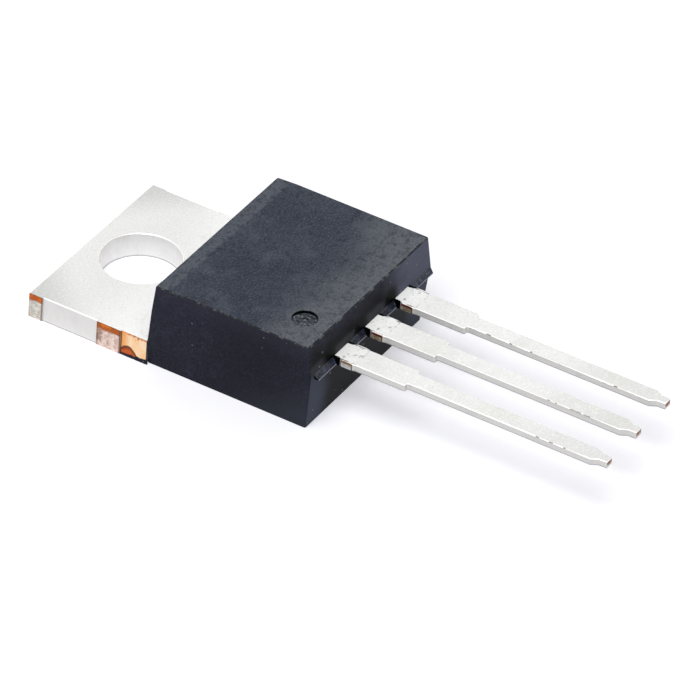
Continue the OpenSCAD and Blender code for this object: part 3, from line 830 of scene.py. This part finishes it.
class DIODE_OT_heatsink(bpy.types.Operator):
    """Dress the tinned copper tab and its cathode lead"""
    bl_idname = "diode.heatsink"
    bl_label = "Heatsink Tab"

    def execute(self, context):
        settings = context.scene.diode_metal
        solid = planar_copy("heatsink_tab")
        dress_lead(solid, "heatsink_tab", 0.0, settings)
        plain_y = (MIDDLE_TIE_Y[1] + 2 * SLACK, CORNER_TIE_Y[0] - 2 * SLACK)

        def on_side(point, edge):
            plain_side = plain_y[0] < point.y < plain_y[1] and abs(point.x) > TAB_FOOT_X - 0.14 * MM
            at_top = is_level(edge) and point.z > TAB_TOP - SLACK
            return at_top and (plain_side or point.y > TAB_END - SLACK)

        def on_foot(point, edge):
            outside = point.y > WALL_Y + SLACK and point.xy.length > HOLE_RADIUS + 0.1 * MM
            return outside and is_level(edge) and point.z < SLACK

        def on_hole(point, _edge):
            return point.xy.length < HOLE_RADIUS + SLACK and point.z > TAB_TOP - SLACK

        rounded = set(round_edges(solid, settings.tab_edge, on_side))
        round_edges(solid, settings.lead_edge, on_foot)
        rounded |= set(round_edges(solid, settings.hole_edge, on_hole))
        solid.normal_update()
        for face in solid.faces:
            if face.calc_center_median().y >= WALL_Y:
                face.material_index = tab_finish(face, rounded)

        def torn(point):
            """How deep a tie's cut is torn there, next to nothing in its burnished band."""
            return 0.03 * MM if point.z < TORN_TOP else 0.006 * MM

        for tie in (CORNER_TIE, MIDDLE_TIE):
            break_up(solid, tie, cell=0.06 * MM, grain=0.16 * MM, reach=torn)
        break_up(solid, INNER_TIE, cell=0.07 * MM, grain=0.3 * MM, reach=lambda _point: 0.02 * MM)
        finish_piece(solid, "tab_and_cathode_lead", [
            matt_tin(settings),
            punched_tin("tin_on_lead_side", "#D0CFCB", "#C7C6C2", foot=LEAD_BASE),
            cut_dam("cut_dam_bar", burnish="#7A3322", torn="#A9967A", foot="#8F866F"),
            cut_tip(),
            burnished_tin(),
            plain_finish(
                "dented_tin", "#A6A69F", "#7C7566", 0.09 * MM, Metallic=1.0, Roughness=0.6),
            sheared_tie(
                "sheared_corner_tie", CORNER_TIE_Y, copper=("#B45A26", "#CF6C2A"),
                torn=("#D8D6CD", "#BFBEB5"), tarnish_and_shadow="#C3AF9E", ends=(0.75, 0.1)),
            sheared_tie(
                "sheared_middle_tie", MIDDLE_TIE_Y, copper=("#AA5A26", "#D87A2A"),
                torn=("#E6D2C9", "#CDB6AA"), tarnish_and_shadow="#8F6C56", ends=(0.9, 0.5)),
            cut_tie(),
            punched_tin("tin_on_punched_side", "#D9D8D5", "#D2D1CE", foot=0.0),
            punched_tin("tin_in_punched_hole", "#E6E5E3", "#DCDBD8", foot=0.0),
        ], "heatsink_tab")
        return {"FINISHED"}


class DIODE_OT_anode_leads(bpy.types.Operator):
    """Dress the two tinned anode leads"""
    bl_idname = "diode.anode_leads"
    bl_label = "Anode Leads"

    def execute(self, context):
        settings = context.scene.diode_metal
        tin, side_tin, tip, bright, dent = [bpy.data.materials[name] for name in (
            "matt_tin_plate", "tin_on_lead_side", "cropped_lead_end", "burnished_tin_edge",
            "dented_tin")]
        pale = cut_dam("cut_dam_bar_pale", burnish="#A27D50", torn="#D9D8D3", foot="#DEDEDB")
        dark = bpy.data.materials["cut_dam_bar"]
        for side, centre_x, cut in (("left", -LEAD_PITCH, pale), ("right", LEAD_PITCH, dark)):
            node = side + "_anode_lead"
            finishes = [tin, side_tin, cut, tip, bright, dent]
            solid = planar_copy(node)
            dress_lead(solid, node, centre_x, settings)
            finish_piece(solid, side + "_lead", finishes, node)
        return {"FINISHED"}


# ---- Chips and wires ----

class DIODE_OT_chip_stack(bpy.types.Operator):
    """Finish the chips, their solder and the bond wires inside the moulding"""
    bl_idname = "diode.chip_stack"
    bl_label = "Chips and Wires"

    def execute(self, _context):
        finishes = {
            "solder": plain_finish(
                "soft_solder", "#B4B6B8", "#9A9C9F", 0.3 * MM, Metallic=1.0, Roughness=0.35),
            "die": plain_finish(
                "metallised_silicon", "#6A7080", "#525764", 0.5 * MM, Metallic=0.6, Roughness=0.25),
            "wire": plain_finish(
                "drawn_aluminium_wire", "#D6D8DA", "#C2C4C7", 0.1 * MM, Metallic=1.0, Roughness=0.3),
        }
        # The last word of a node's name says what it is
        for name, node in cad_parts.items():
            kind = name.rsplit("_", 1)[-1]
            if kind in finishes:
                node.material_slots[0].material = finishes[kind]
        return {"FINISHED"}


# ---- Stage ----

# Sizes and places around the part, and the camera's sensor in millimetres
FLOOR_HALF = 3.0
FLOOR_GAP = 0.004 * MM
LAMP_SIZE = 0.28
LAMP_PLACE = Vector((-0.19, -0.04, 0.46))
NEAREST, FARTHEST = 0.01, 10
SENSOR = 36


def seen_directly(owner):
    """1 for rays from the camera, mirrors and clear things, and 0 for rays that only light."""
    rays = add_node(owner, "LightPath").node.outputs
    direct = add_node(owner, "Math", {
        0: rays["Is Camera Ray"], 1: rays["Is Glossy Ray"]}, operation="MAXIMUM")
    return add_node(owner, "Math", {0: direct, 1: rays["Is Transmission Ray"]}, operation="MAXIMUM")


def white_paper(backlight):
    """Matt white background paper, which glows where it is looked at and so has no horizon."""
    material, _place = new_material(
        "white_paper", Base_Color=linear("#F2F2F6"), Roughness=0.95, Specular_IOR_Level=0.0,
        Emission_Color=linear("#FAFAFF"))
    glow = add_node(material, "Math", {
        0: seen_directly(material), 1: backlight}, operation="MULTIPLY")
    shader = material.node_tree.nodes["Principled BSDF"]
    material.node_tree.links.new(glow, shader.inputs["Emission Strength"])
    return material


def lay_floor(scene, backlight):
    """Lays the paper under the part, a hair below its mounting face."""
    sheet = bmesh.new()
    bmesh.ops.create_grid(sheet, x_segments=1, y_segments=1, size=FLOOR_HALF)
    bmesh.ops.translate(sheet, verts=sheet.verts, vec=(0, 0, -FLOOR_GAP))
    mesh = bpy.data.meshes.new("floor")
    sheet.to_mesh(mesh)
    sheet.free()
    mesh.materials.append(white_paper(backlight))
    floor = bpy.data.objects.new("floor", mesh)
    scene.collection.objects.link(floor)


def light_scene(scene, sky, overhead):
    """Puts a white sky all round and one soft square lamp above the part's near side."""
    world = bpy.data.worlds.new("studio")
    world.use_nodes = True
    scene.world = world
    background = world.node_tree.nodes["Background"]
    background.inputs["Color"].default_value = (1, 1, 1, 1)
    level = add_node(world, "MapRange", {"Value": seen_directly(world), "To Min": sky})
    world.node_tree.links.new(level, background.inputs["Strength"])

    lamp = bpy.data.lights.new("overhead_softbox", "AREA")
    lamp.shape = "SQUARE"
    lamp.size = LAMP_SIZE
    lamp.energy = overhead
    holder = bpy.data.objects.new("overhead_softbox", lamp)
    turn = LAMP_PLACE.to_track_quat("Z", "Y").to_matrix().to_4x4()
    holder.matrix_world = Matrix.Translation(LAMP_PLACE) @ turn
    scene.collection.objects.link(holder)


def place_camera(scene, settings):
    """Puts the camera at its distance from the target, on the side that its angles name."""
    camera = bpy.data.cameras.new("camera")
    camera.sensor_width = SENSOR
    camera.lens = settings.lens
    camera.clip_start = NEAREST
    camera.clip_end = FARTHEST
    viewer = bpy.data.objects.new("camera", camera)
    turn = (Matrix.Rotation(settings.azimuth, 4, "Z")
            @ Matrix.Rotation(math.pi / 2 - settings.elevation, 4, "X")
            @ Matrix.Rotation(settings.roll, 4, "Z"))
    back = turn.to_3x3() @ Vector((0, 0, 1))
    viewer.matrix_world = Matrix.Translation(
        Vector(settings.target) + back * settings.distance) @ turn
    scene.collection.objects.link(viewer)
    scene.camera = viewer


class DIODE_OT_stage(bpy.types.Operator):
    """Set up the white floor, the soft lights and the camera"""
    bl_idname = "diode.stage"
    bl_label = "Stage"

    def execute(self, context):
        scene = context.scene
        settings = scene.diode_stage
        lay_floor(scene, settings.backlight)
        light_scene(scene, settings.sky, settings.overhead)
        place_camera(scene, settings)
        scene.view_settings.view_transform = "Standard"
        return {"FINISHED"}


# ---- Panel and registration ----

STEPS = (
    DIODE_OT_stage,
    DIODE_OT_moulding,
    DIODE_OT_heatsink,
    DIODE_OT_anode_leads,
    DIODE_OT_chip_stack,
)


class DIODE_PT_panel(bpy.types.Panel):
    """The diode's pieces and settings"""
    bl_label = "Power Diode"
    bl_idname = "DIODE_PT_panel"
    bl_space_type = "VIEW_3D"
    bl_region_type = "UI"
    bl_category = "Diode"

    def draw(self, context):
        for step in STEPS:
            self.layout.operator(step.bl_idname)
        for group in GROUPS:
            settings = getattr(context.scene, group)
            box = self.layout.box()
            for name in settings.__annotations__:
                box.prop(settings, name)


GROUPS = {
    "diode_moulding": DiodeMouldingSettings,
    "diode_metal": DiodeMetalSettings,
    "diode_stage": DiodeStageSettings,
}
CLASSES = (*GROUPS.values(), *STEPS, DIODE_PT_panel)


def register():
    for made in CLASSES:
        bpy.utils.register_class(made)
    for name, group in GROUPS.items():
        setattr(bpy.types.Scene, name, bpy.props.PointerProperty(type=group))


def unregister():
    for name in GROUPS:
        delattr(bpy.types.Scene, name)
    for made in reversed(CLASSES):
        bpy.utils.unregister_class(made)


def main():
    """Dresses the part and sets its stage."""
    register()
    for step in STEPS:
        space, name = step.bl_idname.split(".")
        getattr(getattr(bpy.ops, space), name)()


if __name__ == "__main__":
    main()
